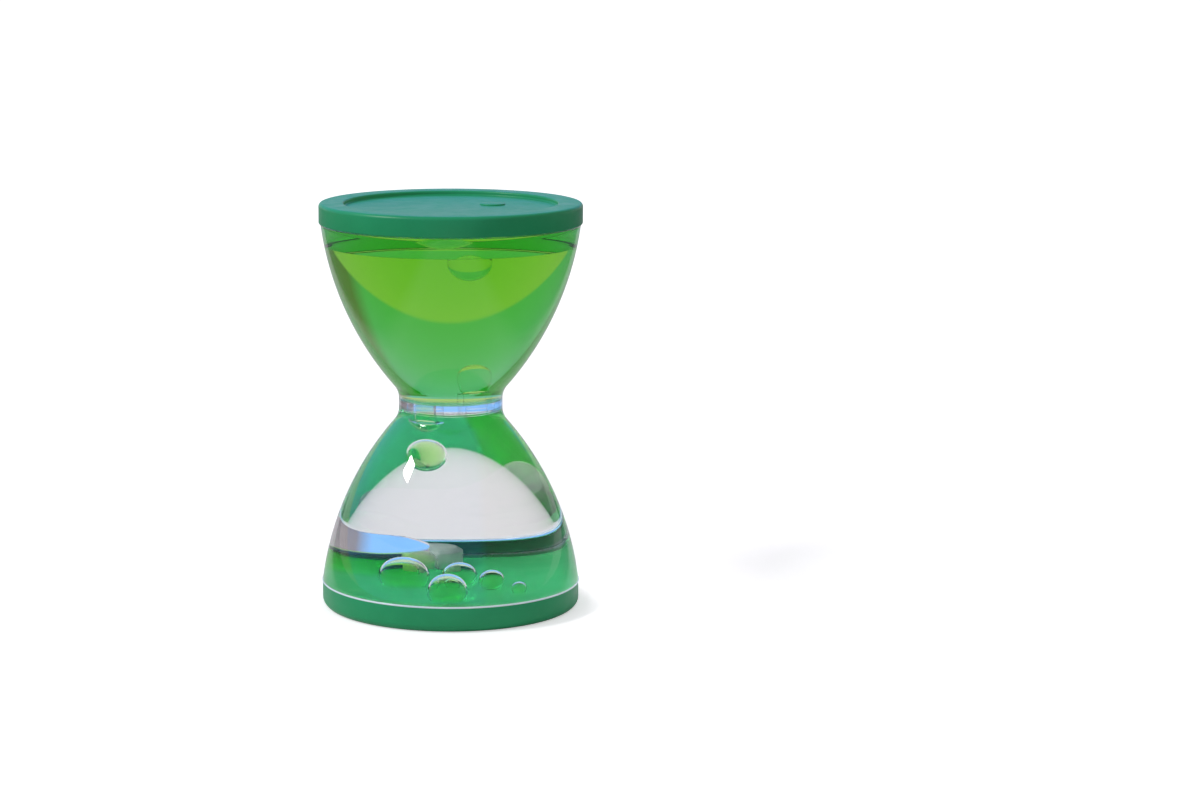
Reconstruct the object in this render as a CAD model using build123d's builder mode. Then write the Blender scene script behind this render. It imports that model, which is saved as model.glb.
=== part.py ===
"""Hourglass-shaped liquid motion timer, in millimetres.

Two clear bells meet at a jet plate. Coloured water drips down through one nozzle while clear
oil rises through the other. The origin is the centre of the base's underside, +Z is up and the
front faces -Y.
"""
import os
from math import asin, atan2, copysign, cos, degrees, radians, sqrt

from build123d import *

os.makedirs("parts", exist_ok=True)

# Overall height, from the base rim to the lid rim
timer_height = 90.0

# Clear bells: two tangent arcs from the neck to the mouth
bell_mouth_radius = 28.6
bell_arc_radius = 68.0
bell_wall = 2.5
neck_radius = 11.5
neck_fillet_radius = 4.6

# Green caps, cups that go over the stepped rims of the bells
lid_height = 4.5
lid_thickness = 2.0
base_height = 5.5
cap_skirt_wall = 1.0
cap_rim_width = 5.1
cap_recess_depth = 1.0
cap_recess_round = 0.4
cap_fit = 0.05
cap_seam = 0.15
lid_overhang = 0.4
lid_edge_round = 0.8
base_edge_round = 1.8
gate_mark_radius = 2.8
gate_mark_height = 0.3
gate_mark_x = 9.2
gate_mark_y = 4.1

# Seal rings and the cement fillet under the lid
seal_thickness = 0.4
bead_height = 1.1
bead_inset = 0.05

# Filling plug in the base, near the back wall
plug_x = -1.7
plug_head_gap = 0.2
plug_stem_radius = 1.9
plug_head_radius = 2.8
plug_head_height = 0.7
plug_barrel_radius = 3.0
plug_barrel_height = 3.6
plug_barrel_chamfer = 0.7
plug_fit = 0.05

# Jet plate and its two nozzles
plate_thickness = 2.0
lip_height = 0.8
lip_wall = 0.8
lip_fit = 0.1
nozzle_offset = 3.9
nozzle_radius = 2.9
nozzle_bore_radius = 1.7
nozzle_reach = 4.75
nozzle_tip_chamfer = 0.4
nozzle_fit = 0.02

# Clear ring in the corner of lid and bell: its depth, its width under the lid as a share of the
# mouth bore, and how far the water's shoulder bulges into it
ring_depth = 7.1
ring_width_share = 0.235
ring_bulge = 0.03

# Drops in the chambers and at the nozzles
drop_radius = 3.4
drop_clearance = 0.15
falling_drop_distance = 8.75
rising_drop_radius = 2.9
rising_drop_foot_radius = 2.2
rising_drop_length = 6.5
waiting_drop_x = 3.1
waiting_drop_radius = 3.7
waiting_drop_depth = 8.9
pendant_drop_radius = 2.5
pendant_drop_length = 3.3

# Coloured pool at the back left of the base: its place and radius are shares of the mouth bore
pool_x_share = -0.417
pool_y_share = 0.797
pool_radius_share = 0.387
pool_depth = 3.9
pool_edge_radius = 2.6

# Drops standing on the base: x, y, contact radius and height, as shares of the mouth bore
landed_drops = [
    (-0.251, 0.193, 0.128, 0.201),
    (-0.021, -0.316, 0.116, 0.201),
    (0.046, 0.249, 0.073, 0.152),
    (0.234, 0.053, 0.034, 0.142),
    (0.415, -0.071, 0.039, 0.080),
]

# Clear drops hanging from the lid: x, y, contact radius and depth, as shares of the mouth bore
risen_drops = [
    (-0.038, 0.000, 0.311, 0.159),
    (0.456, -0.152, 0.091, 0.099),
    (0.235, -0.304, 0.038, 0.061),
]

# Heights that follow from the sizes above
neck_height = (timer_height + base_height - lid_height) / 2
roof_height = timer_height - lid_thickness
floor_height = 2 * neck_height - roof_height
plate_top = neck_height + plate_thickness / 2
plate_bottom = neck_height - plate_thickness / 2
riser_tip = plate_top + nozzle_reach
drip_tip = plate_bottom - nozzle_reach
falling_drop_height = drip_tip - falling_drop_distance
waiting_drop_height = roof_height - waiting_drop_depth
mid_plane = Plane.XY.offset(neck_height)

# Section plane through the axis: its x is the radius, its y the height above the mid plane
mid_section = Plane(origin=(0, 0, neck_height), x_dir=(1, 0, 0), z_dir=(0, -1, 0))
bell_start = plate_thickness / 2
skirt_end = neck_height - base_height
shoulder = skirt_end - cap_seam
roof = roof_height - neck_height
lid_face = timer_height - neck_height
base_face = neck_height
rim_end = roof - seal_thickness
skirt_bore = bell_mouth_radius - cap_skirt_wall
rim_radius = skirt_bore - cap_fit
lid_radius = bell_mouth_radius + lid_overhang
cap_recess_radius = bell_mouth_radius - cap_rim_width
plug_y = cap_recess_radius - plug_head_radius - plug_head_gap

# Bell arc: tangent to the neck arc and through the mouth
neck_centre = Vector(neck_radius + neck_fillet_radius, bell_start)
mouth_point = Vector(bell_mouth_radius, shoulder)
mouth_span = mouth_point - neck_centre
mouth_way = mouth_span.normalized()
centre_reach = bell_arc_radius + neck_fillet_radius
centre_along = (centre_reach**2 - bell_arc_radius**2 + mouth_span.length**2) / (2 * mouth_span.length)
centre_aside = sqrt(centre_reach**2 - centre_along**2)
bell_centre = neck_centre + mouth_way * centre_along + Vector(-mouth_way.Y, mouth_way.X) * centre_aside
tangent_angle = degrees(atan2(neck_centre.Y - bell_centre.Y, neck_centre.X - bell_centre.X))
mouth_angle = degrees(atan2(mouth_point.Y - bell_centre.Y, mouth_point.X - bell_centre.X))
inner_arc_radius = bell_arc_radius - bell_wall
inner_neck_radius = neck_fillet_radius + bell_wall
rim_angle = degrees(asin((rim_end - bell_centre.Y) / inner_arc_radius))
rim_bore = bell_centre.X + inner_arc_radius * cos(radians(rim_angle))
neck_bore = neck_radius - bell_wall

# Ends of the water's shoulder, at the bell's wall and at the lid
wall_contact = roof - ring_depth
wall_contact_radius = bell_centre.X + sqrt(inner_arc_radius**2 - (wall_contact - bell_centre.Y) ** 2)
lid_contact_radius = wall_contact_radius - ring_width_share * rim_bore


# Upper bell
with BuildPart() as upper_bell:
    with BuildSketch(mid_section):
        with BuildLine():
            neck_outside = CenterArc(neck_centre, neck_fillet_radius, 180, tangent_angle)
            bell_outside = CenterArc(
                bell_centre, bell_arc_radius, tangent_angle, mouth_angle - tangent_angle
            )
            neck_inside = CenterArc(neck_centre, inner_neck_radius, 180, tangent_angle)
            bell_inside = CenterArc(
                bell_centre, inner_arc_radius, tangent_angle, rim_angle - tangent_angle
            )
            Polyline(bell_outside @ 1, (rim_radius, shoulder), (rim_radius, rim_end), bell_inside @ 1)
            Line(neck_inside @ 0, neck_outside @ 0)
        make_face()
    revolve(axis=Axis.Z)
upper_bell.part.label = "upper_bell"
export_step(upper_bell.part, "parts/upper_bell.step")

# Lower bell, the same moulding turned over
with BuildPart() as lower_bell:
    mirror(upper_bell.part, about=mid_plane)
lower_bell.part.label = "lower_bell"
export_step(lower_bell.part, "parts/lower_bell.step")


def cap_cup(outer_radius, edge_round, face):
    """Cup-shaped cap over the upper bell, its rim face at the given height above the mid plane."""
    with BuildPart() as cup:
        with BuildSketch(mid_section):
            with BuildLine():
                Polyline(
                    (0, roof),
                    (skirt_bore, roof),
                    (skirt_bore, skirt_end),
                    (outer_radius, skirt_end),
                    (outer_radius, face),
                    (cap_recess_radius, face),
                    (cap_recess_radius, face - cap_recess_depth),
                    (0, face - cap_recess_depth),
                    close=True,
                )
            make_face()
        revolve(axis=Axis.Z)
        face_edges = cup.edges().filter_by(GeomType.CIRCLE).group_by(Axis.Z)[-1]
        fillet(face_edges.sort_by(SortBy.RADIUS)[-1], edge_round)
        face_edges = cup.edges().filter_by(GeomType.CIRCLE).group_by(Axis.Z)[-1]
        fillet(face_edges.sort_by(SortBy.RADIUS)[0], cap_recess_round)
    return cup.part


# Lid, with the round mark that the moulding gate leaves on its recessed face
with BuildPart() as lid:
    add(cap_cup(lid_radius, lid_edge_round, lid_face))
    with BuildSketch(Plane.XY.offset(timer_height - cap_recess_depth)):
        with Locations((gate_mark_x, gate_mark_y)):
            Circle(gate_mark_radius)
    extrude(amount=gate_mark_height)
lid.part.label = "lid"
export_step(lid.part, "parts/lid.step")

# Base, with the filling hole
with BuildPart() as base:
    mirror(cap_cup(bell_mouth_radius, base_edge_round, base_face), about=mid_plane)
    with Locations((plug_x, plug_y, floor_height)):
        Hole(plug_stem_radius + plug_fit, depth=floor_height)
base.part.label = "base"
export_step(base.part, "parts/base.step")


def seal_ring(height):
    """Flat ring between a bell's rim and its cap, with its lower face at the given height."""
    with BuildPart() as ring:
        with BuildSketch(Plane.XY.offset(height)):
            Circle(rim_radius)
            Circle(rim_bore, mode=Mode.SUBTRACT)
        extrude(amount=seal_thickness)
    return ring.part


# Seal rings at both mouths
with BuildPart() as lid_seal:
    add(seal_ring(roof_height - seal_thickness))
lid_seal.part.label = "lid_seal"
export_step(lid_seal.part, "parts/lid_seal.step")

with BuildPart() as base_seal:
    add(seal_ring(floor_height))
base_seal.part.label = "base_seal"
export_step(base_seal.part, "parts/base_seal.step")

# Cement fillet in the corner between the lid's overhang and the upper bell
with BuildPart() as lid_bond_bead:
    with BuildSketch(mid_section):
        with BuildLine():
            Polyline(
                (rim_radius - cap_fit, skirt_end),
                (lid_radius - bead_inset, skirt_end),
                (bell_mouth_radius, skirt_end - bead_height),
                (rim_radius - cap_fit, skirt_end - bead_height),
                close=True,
            )
        make_face()
    revolve(axis=Axis.Z)
    add(upper_bell.part, mode=Mode.SUBTRACT)
lid_bond_bead.part.label = "lid_bond_bead"
export_step(lid_bond_bead.part, "parts/lid_bond_bead.step")

# Filling plug: head in the base's recess, stem in the hole, barrel inside the chamber
plug_axis = Axis((plug_x, plug_y, 0), (0, 0, 1))
plug_section = Plane(origin=(plug_x, plug_y, 0), x_dir=(1, 0, 0), z_dir=(0, -1, 0))
with BuildPart() as base_fill_plug:
    with BuildSketch(plug_section):
        with BuildLine():
            Polyline(
                (0, cap_recess_depth - plug_head_height),
                (plug_head_radius, cap_recess_depth - plug_head_height),
                (plug_head_radius, cap_recess_depth),
                (plug_stem_radius, cap_recess_depth),
                (plug_stem_radius, floor_height),
                (plug_barrel_radius, floor_height),
                (plug_barrel_radius, floor_height + plug_barrel_height - plug_barrel_chamfer),
                (plug_barrel_radius - plug_barrel_chamfer, floor_height + plug_barrel_height),
                (0, floor_height + plug_barrel_height),
                close=True,
            )
        make_face()
    revolve(axis=plug_axis)
base_fill_plug.part.label = "base_fill_plug"
export_step(base_fill_plug.part, "parts/base_fill_plug.step")

# Jet plate between the necks, with a register lip on each side
with BuildPart() as jet_plate:
    with BuildSketch(Plane.XY.offset(plate_bottom)):
        Circle(neck_radius)
    extrude(amount=plate_thickness)
    with BuildSketch(Plane.XY.offset(plate_bottom - lip_height)):
        Circle(neck_bore - lip_fit)
        Circle(neck_bore - lip_fit - lip_wall, mode=Mode.SUBTRACT)
    extrude(amount=plate_thickness + 2 * lip_height)
    with Locations((nozzle_offset, 0, plate_top), (-nozzle_offset, 0, plate_top)):
        Hole(nozzle_radius + nozzle_fit, depth=plate_thickness)
jet_plate.part.label = "jet_plate"
export_step(jet_plate.part, "parts/jet_plate.step")

# Riser nozzle, up into the upper chamber
with BuildPart() as riser_nozzle:
    with BuildSketch(Plane.XY.offset(plate_bottom)):
        with Locations((nozzle_offset, 0)):
            Circle(nozzle_radius)
            Circle(nozzle_bore_radius, mode=Mode.SUBTRACT)
    extrude(amount=plate_thickness + nozzle_reach)
    tip_edges = riser_nozzle.edges().filter_by(GeomType.CIRCLE).group_by(Axis.Z)[-1]
    chamfer(tip_edges.sort_by(SortBy.RADIUS)[-1], nozzle_tip_chamfer)
riser_nozzle.part.label = "riser_nozzle"
export_step(riser_nozzle.part, "parts/riser_nozzle.step")

# Drip nozzle, the same tube turned half round a line across the plate
with BuildPart() as drip_nozzle:
    mirror(mirror(riser_nozzle.part, about=mid_plane, mode=Mode.PRIVATE), about=Plane.YZ)
drip_nozzle.part.label = "drip_nozzle"
export_step(drip_nozzle.part, "parts/drip_nozzle.step")

# Space inside the upper bell, from the jet plate to the lid
with BuildPart() as upper_room:
    with BuildSketch(mid_section):
        with BuildLine():
            neck_wall = CenterArc(neck_centre, inner_neck_radius, 180, tangent_angle)
            bell_wall_line = CenterArc(
                bell_centre, inner_arc_radius, tangent_angle, rim_angle - tangent_angle
            )
            Polyline(bell_wall_line @ 1, (rim_bore, roof), (0, roof), (0, bell_start), neck_wall @ 0)
        make_face()
    revolve(axis=Axis.Z)


def dome(x, y, height, radius, rise):
    """Cap of a ball on the plane at the given height; a negative rise hangs down from it."""
    side = copysign(1, rise)
    ball_radius = (radius**2 + rise**2) / (2 * abs(rise))
    ball_height = rise - side * ball_radius
    contact_angle = side * degrees(asin((ball_radius - abs(rise)) / ball_radius))
    crown_angle = side * 90 - contact_angle
    dome_section = Plane(origin=(x, y, height), x_dir=(1, 0, 0), z_dir=(0, -1, 0))
    with BuildPart() as ball_cap:
        with BuildSketch(dome_section):
            with BuildLine():
                crown = CenterArc((0, ball_height), ball_radius, contact_angle, crown_angle)
                Polyline(crown @ 1, (0, 0), crown @ 0)
            make_face()
        revolve(axis=Axis((x, y, 0), (0, 0, 1)))
    return ball_cap.part


# Risen drops, clear, hanging from the lid
risen = []
for number, shares in enumerate(risen_drops, start=1):
    x, y, radius, depth = (share * rim_bore for share in shares)
    with BuildPart() as risen_drop:
        add(dome(x, y, roof_height, radius, -depth))
    risen_drop.part.label = f"risen_drop_{number}"
    export_step(risen_drop.part, f"parts/risen_drop_{number}.step")
    risen.append(risen_drop.part)

# Waiting drop, clear, on its way to the lid
with BuildPart() as waiting_drop:
    with Locations((waiting_drop_x, 0, waiting_drop_height)):
        Sphere(waiting_drop_radius)
waiting_drop.part.label = "waiting_drop"
export_step(waiting_drop.part, "parts/waiting_drop.step")


def rising_bulb(grow):
    """Bulb on the riser nozzle, its surface moved out by grow, with its foot on the nozzle tip."""
    bulb_section = Plane(origin=(nozzle_offset, 0, riser_tip), x_dir=(1, 0, 0), z_dir=(0, -1, 0))
    belly_height = drop_clearance + rising_drop_length - rising_drop_radius
    belly_radius = rising_drop_radius + grow
    foot_height = drop_clearance - grow
    with BuildPart() as bulb:
        with BuildSketch(bulb_section):
            with BuildLine():
                crown = CenterArc((0, belly_height), belly_radius, 0, 90)
                flank = TangentArc(
                    (belly_radius, belly_height),
                    (rising_drop_foot_radius + grow, foot_height),
                    tangent=(0, -1),
                )
                Polyline(crown @ 1, (0, foot_height), flank @ 1)
            make_face()
        revolve(axis=Axis((nozzle_offset, 0, 0), (0, 0, 1)))
    return bulb.part


# Rising drop, clear, about to leave the riser nozzle
with BuildPart() as rising_drop:
    add(rising_bulb(0))
rising_drop.part.label = "rising_drop"
export_step(rising_drop.part, "parts/rising_drop.step")

# Falling drop, coloured
with BuildPart() as falling_drop:
    with Locations((-nozzle_offset, 0, falling_drop_height)):
        Sphere(drop_radius)
falling_drop.part.label = "falling_drop"
export_step(falling_drop.part, "parts/falling_drop.step")

# Pendant drop, coloured, growing on the drip nozzle
with BuildPart() as pendant_drop:
    add(dome(-nozzle_offset, 0, drip_tip, pendant_drop_radius, -pendant_drop_length))
pendant_drop.part.label = "pendant_drop"
export_step(pendant_drop.part, "parts/pendant_drop.step")

# Landed drops, coloured, standing on the base
landed = []
for number, shares in enumerate(landed_drops, start=1):
    x, y, radius, rise = (share * rim_bore for share in shares)
    with BuildPart() as landed_drop:
        add(dome(x, y, floor_height, radius, rise))
    landed_drop.part.label = f"landed_drop_{number}"
    export_step(landed_drop.part, f"parts/landed_drop_{number}.step")
    landed.append(landed_drop.part)

# Space inside the lower bell
with BuildPart() as lower_room:
    mirror(upper_room.part, about=mid_plane)

# Settled pool: a thick round-edged puddle, cut by the bell's wall
with BuildPart() as settled_pool:
    with BuildSketch(Plane.XY.offset(floor_height)):
        with Locations((pool_x_share * rim_bore, pool_y_share * rim_bore)):
            Circle(pool_radius_share * rim_bore)
    extrude(amount=pool_depth)
    fillet(settled_pool.edges().group_by(Axis.Z)[-1], pool_edge_radius)
    add(lower_room.part, mode=Mode.INTERSECT)
    add(base_fill_plug.part, mode=Mode.SUBTRACT)
settled_pool.part.label = "settled_pool"
export_step(settled_pool.part, "parts/settled_pool.step")

# Space that the water may fill, under the lid and inside the clear ring
with BuildPart() as water_room:
    with BuildSketch(mid_section):
        with BuildLine():
            shoulder_line = SagittaArc(
                (wall_contact_radius, wall_contact), (lid_contact_radius, roof), -ring_bulge
            )
            Polyline(
                shoulder_line @ 1,
                (0, roof),
                (0, 0),
                (rim_radius, 0),
                (rim_radius, wall_contact),
                shoulder_line @ 0,
            )
        make_face()
    revolve(axis=Axis.Z)

# Clear ring in the corner of lid and bell
with BuildPart() as clear_layer:
    add(upper_room.part)
    add(water_room.part, mode=Mode.SUBTRACT)
clear_layer.part.label = "clear_layer"
export_step(clear_layer.part, "parts/clear_layer.step")

# Coloured liquid: the upper chamber round its clear drops, and the drip nozzle's bore
with BuildPart() as coloured_liquid:
    add(upper_room.part)
    add(water_room.part, mode=Mode.INTERSECT)
    add(risen, mode=Mode.SUBTRACT)
    with BuildSketch(Plane.XY.offset(plate_top)):
        with Locations((nozzle_offset, 0)):
            Circle(nozzle_radius)
    extrude(amount=nozzle_reach, mode=Mode.SUBTRACT)
    add(rising_bulb(drop_clearance), mode=Mode.SUBTRACT)
    add(waiting_drop.part, mode=Mode.SUBTRACT)
    add(jet_plate.part, mode=Mode.SUBTRACT)
    with BuildSketch(Plane.XY.offset(drip_tip)):
        with Locations((-nozzle_offset, 0)):
            Circle(nozzle_bore_radius)
    extrude(amount=plate_top - drip_tip)
coloured_liquid.part.label = "coloured_liquid"
export_step(coloured_liquid.part, "parts/coloured_liquid.step")

# Clear liquid: the lower chamber round its drops, and the riser nozzle's bore
with BuildPart() as clear_liquid:
    add(lower_room.part)
    with BuildSketch(Plane.XY.offset(drip_tip)):
        with Locations((-nozzle_offset, 0)):
            Circle(nozzle_radius)
    extrude(amount=nozzle_reach, mode=Mode.SUBTRACT)
    with Locations((-nozzle_offset, 0, falling_drop_height)):
        Sphere(drop_radius + drop_clearance, mode=Mode.SUBTRACT)
    add([pendant_drop.part, settled_pool.part, base_fill_plug.part], mode=Mode.SUBTRACT)
    add(landed, mode=Mode.SUBTRACT)
    add(jet_plate.part, mode=Mode.SUBTRACT)
    with BuildSketch(Plane.XY.offset(plate_bottom)):
        with Locations((nozzle_offset, 0)):
            Circle(nozzle_bore_radius)
    extrude(amount=riser_tip - plate_bottom)
clear_liquid.part.label = "clear_liquid"
export_step(clear_liquid.part, "parts/clear_liquid.step")
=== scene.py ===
# %% [markdown]
# # A liquid motion timer
# Two clear bells stand neck to neck on a thin plate, and green caps close their wide ends.
# Green water drips down through one nozzle while clear oil rises through the other.
# Nearly every surface is seen through another one, so this lesson is mostly about building
# clear things so that light bends through them in the right order.

# %% Load the fixed frame
from math import asin, atan2, cos, hypot, radians, sin, sqrt, tau

import bmesh
import bpy
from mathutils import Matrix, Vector


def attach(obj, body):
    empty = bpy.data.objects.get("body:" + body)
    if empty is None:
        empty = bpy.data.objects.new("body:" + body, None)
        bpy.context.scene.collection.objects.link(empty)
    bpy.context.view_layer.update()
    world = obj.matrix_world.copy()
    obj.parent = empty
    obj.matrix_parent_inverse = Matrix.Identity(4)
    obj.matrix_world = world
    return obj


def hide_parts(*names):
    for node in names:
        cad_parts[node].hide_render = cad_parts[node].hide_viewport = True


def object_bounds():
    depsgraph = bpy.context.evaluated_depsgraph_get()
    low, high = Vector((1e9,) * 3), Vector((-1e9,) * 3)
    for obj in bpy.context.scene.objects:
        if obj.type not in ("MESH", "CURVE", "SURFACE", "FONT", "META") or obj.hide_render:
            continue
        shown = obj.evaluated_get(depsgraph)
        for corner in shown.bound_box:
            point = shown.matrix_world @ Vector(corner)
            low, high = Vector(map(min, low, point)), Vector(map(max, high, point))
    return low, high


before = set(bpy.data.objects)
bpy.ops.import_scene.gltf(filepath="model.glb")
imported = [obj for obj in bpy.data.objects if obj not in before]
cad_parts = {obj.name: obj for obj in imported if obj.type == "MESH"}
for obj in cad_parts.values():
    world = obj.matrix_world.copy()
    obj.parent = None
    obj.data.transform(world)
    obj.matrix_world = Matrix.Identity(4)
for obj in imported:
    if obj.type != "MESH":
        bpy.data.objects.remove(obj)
cad_low, cad_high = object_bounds()
print("CAD box in mm:", [round(1000 * (b - a), 1) for a, b in zip(cad_low, cad_high)])

# %% [markdown]
# ## Sizes
# The CAD model sets every size, so the same numbers are repeated here in millimetres. A profile is
# drawn in the plane through the axis, with its radius along X and its height along Z. The bell is
# two tangent arcs, a small one at the neck and a large one up to the mouth, as a mould maker
# would turn it. Both bells are the same, so the heights of their profiles count from the neck.

# %% Sizes in millimetres
mm = 0.001
timer_height = cad_high[2] / mm
lid_height, lid_thickness, base_height = 4.5, 2.0, 5.5
neck_height = (timer_height + base_height - lid_height) / 2
roof_height = timer_height - lid_thickness
floor_height = 2 * neck_height - roof_height
skirt_end, roof = neck_height - base_height, roof_height - neck_height
step_gap, seal_thickness = 0.15, 0.4
bell_step, rim_end = skirt_end - step_gap, roof - seal_thickness
mouth_radius, bell_arc, bell_wall = 28.6, 68.0, 2.5
neck_radius, neck_arc, plate_half = 11.5, 4.6, 1.0
neck_bore, inner_arc = neck_radius - bell_wall, bell_arc - bell_wall
print("neck at", neck_height, "mm, roof at", roof_height, "mm, floor at", floor_height, "mm")

# %% The two arcs of the bell
neck_centre = Vector((neck_radius + neck_arc, plate_half))
mouth_span = Vector((mouth_radius, bell_step)) - neck_centre
mouth_way = mouth_span.normalized()
reach = bell_arc + neck_arc
along = (reach**2 - bell_arc**2 + mouth_span.length_squared) / (2 * mouth_span.length)
aside = sqrt(reach**2 - along**2)
bell_centre = neck_centre + along * mouth_way + aside * Vector((-mouth_way.y, mouth_way.x))
tangent_angle = atan2(neck_centre.y - bell_centre.y, neck_centre.x - bell_centre.x)
mouth_angle = atan2(bell_step - bell_centre.y, mouth_radius - bell_centre.x)
rim_angle = asin((rim_end - bell_centre.y) / inner_arc)
rim_bore = bell_centre.x + inner_arc * cos(rim_angle)
print("bell arc centre:", [round(c, 2) for c in bell_centre], "mouth bore:", round(rim_bore, 2))

# %% [markdown]
# ## Drawing and turning a profile
# A lathe part is a line that is spun round the axis. bmesh's spin operator does both jobs: spun
# round a centre, one vertex draws an arc, and spun round the axis, the whole line makes the skin.
# Listing vertices by hand would work too, but the operator keeps the arcs exact and the code
# short.

# %% Profile helpers
turn_steps, small_turn_steps = 192, 96
merge_distance, sliver_width = 0.0005, 0.0004


def start_line(radius, height):
    """A new bmesh with the first point of a profile."""
    bm = bmesh.new()
    return bm, bm.verts.new((radius, 0, height))


def line_to(bm, last, radius, height):
    """Draws a straight line from the last point to a new one."""
    point = bm.verts.new((radius, 0, height))
    bm.edges.new((last, point))
    return point


def arc_to(bm, last, centre, angle, steps):
    """Sweeps the last point round a centre; a positive angle goes from +X towards +Z."""
    swept = bmesh.ops.spin(
        bm, geom=[last], cent=(centre[0], 0, centre[1]), axis=(0, -1, 0), angle=angle, steps=steps
    )
    return next(g for g in swept["geom_last"] if isinstance(g, bmesh.types.BMVert))


def move(bm, x=0, y=0, z=0):
    bmesh.ops.translate(bm, vec=(x, y, z), verts=bm.verts)


def tidy(bm):
    """Merges doubled points, drops flat slivers and points every face outwards."""
    bmesh.ops.remove_doubles(bm, verts=bm.verts, dist=merge_distance)
    bmesh.ops.dissolve_degenerate(bm, edges=bm.edges, dist=sliver_width)
    bmesh.ops.recalc_face_normals(bm, faces=bm.faces)


def turn(bm, x=0, y=0, steps=turn_steps):
    """Moves a profile to its axis, spins it full round and closes its poles and seam."""
    move(bm, x, y)
    whole = bm.verts[:] + bm.edges[:]
    bmesh.ops.spin(
        bm, geom=whole, cent=(x, y, 0), axis=(0, 0, 1), angle=tau, steps=steps, use_merge=True
    )
    tidy(bm)


# %% Form helpers
def turn_over(bm):
    """Mirrors a form in the level plane and points its faces outwards again."""
    bmesh.ops.scale(bm, vec=(1, 1, -1), verts=bm.verts)
    bmesh.ops.recalc_face_normals(bm, faces=bm.faces)


def turn_in(bm):
    """Turns a form's faces inwards, so that it ends the liquid round it."""
    bmesh.ops.reverse_faces(bm, faces=bm.faces)
    return bm


def raise_faces(bm, faces, height):
    """Extrudes faces straight up and returns the edges of the raised end."""
    raised = bmesh.ops.extrude_face_region(bm, geom=faces)["geom"]
    verts = [g for g in raised if isinstance(g, bmesh.types.BMVert)]
    bmesh.ops.translate(bm, vec=(0, 0, height), verts=verts)
    return [g for g in raised if isinstance(g, bmesh.types.BMEdge)]


def round_edges(bm, edges, size, segments):
    bmesh.ops.bevel(
        bm, geom=edges, offset=size, segments=segments, profile=0.5, affect="EDGES", material=-1
    )


print("profiles are spun in", turn_steps, "steps, small ones in", small_turn_steps)

# %% [markdown]
# ## From bmesh to a piece
# Every piece is shaded smooth, with edges sharper than a set angle left crisp. It is scaled from
# millimetres to metres inside its mesh, so that its object stays at the origin, and it then rides
# on one of the bodies of the CAD model. Clear pieces cast no shadow, so the lamp shines through.

# %% Piece helpers
crisp_angle = radians(38)
near = 0.01


def make_piece(bm, name, finishes, body="timer", nodes=(), clear=True):
    """Turns a bmesh in millimetres into an object that rides on a body and stands for CAD nodes."""
    for face in bm.faces:
        face.smooth = True
    for edge in bm.edges:
        edge.smooth = edge.calc_face_angle(0) < crisp_angle
    bmesh.ops.scale(bm, vec=(mm, mm, mm), verts=bm.verts)
    mesh = bpy.data.meshes.new(name)
    bm.to_mesh(mesh)
    bm.free()
    for finish in finishes:
        mesh.materials.append(finish)
    piece = bpy.data.objects.new(name, mesh)
    piece.visible_shadow = not clear
    bpy.context.scene.collection.objects.link(piece)
    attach(piece, body)
    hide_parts(*nodes)
    print(name, "has", len(mesh.polygons), "faces")
    return piece


def on_ring(point, radius, height):
    """Whether a point lies on the circle at a radius and height on the main axis."""
    return abs(hypot(point.x, point.y) - radius) < near and abs(point.z - height) < near


def round_ring(bm, radius, height, size, segments=5):
    """Bevels one circle of edges on the main axis."""
    ring = [e for e in bm.edges if all(on_ring(v.co, radius, height) for v in e.verts)]
    round_edges(bm, ring, size, segments)


# %% [markdown]
# ## Shared finish effects
# Two effects turn up in more than one material. Moulded plastic and rubber have a fine grain and a
# slight mottling, and handled gloss has faint smears and a gentle ripple from the mould. Each is a
# node group with its own values in each material. The shader itself stays in the material, where
# an exporter can read it.

# %% Node helpers
def new_finish(name):
    finish = bpy.data.materials.new(name)
    finish.use_nodes = True
    return finish, finish.node_tree, finish.node_tree.nodes["Principled BSDF"]


def feed(tree, socket, value):
    """Links a socket to another one, or sets it to a plain value."""
    if isinstance(value, bpy.types.NodeSocket):
        tree.links.new(value, socket)
    else:
        socket.default_value = value


def object_coordinates(tree):
    return tree.nodes.new("ShaderNodeTexCoord").outputs["Object"]


def noise(tree, coordinates, scale, detail=2.0, roughness=0.5):
    node = tree.nodes.new("ShaderNodeTexNoise")
    tree.links.new(coordinates, node.inputs["Vector"])
    feed(tree, node.inputs["Scale"], scale)
    node.inputs["Detail"].default_value = detail
    node.inputs["Roughness"].default_value = roughness
    return node.outputs["Fac"]


def spread(tree, value, low, high, to_low=0.0, to_high=1.0):
    """Maps a value range to another, clamped; ends may be numbers or sockets."""
    node = tree.nodes.new("ShaderNodeMapRange")
    tree.links.new(value, node.inputs["Value"])
    feed(tree, node.inputs["From Min"], low)
    feed(tree, node.inputs["From Max"], high)
    feed(tree, node.inputs["To Min"], to_low)
    feed(tree, node.inputs["To Max"], to_high)
    return node.outputs["Result"]


def sums(tree, operation, first, second):
    node = tree.nodes.new("ShaderNodeMath")
    node.operation = operation
    feed(tree, node.inputs[0], first)
    feed(tree, node.inputs[1], second)
    return node.outputs["Value"]


def mix_colours(tree, factor, first, second):
    """Mixes two colours, each a socket or three plain numbers."""
    node = tree.nodes.new("ShaderNodeMix")
    node.data_type = "RGBA"
    tree.links.new(factor, node.inputs["Factor"])
    for socket, colour in zip((node.inputs[6], node.inputs[7]), (first, second)):
        feed(tree, socket, (*colour, 1) if isinstance(colour, tuple) else colour)
    return node.outputs[2]


def bump(tree, shader, height, distance):
    node = tree.nodes.new("ShaderNodeBump")
    node.inputs["Distance"].default_value = distance
    node.inputs["Strength"].default_value = 1.0
    tree.links.new(height, node.inputs["Height"])
    tree.links.new(node.outputs["Normal"], shader.inputs["Normal"])


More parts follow.
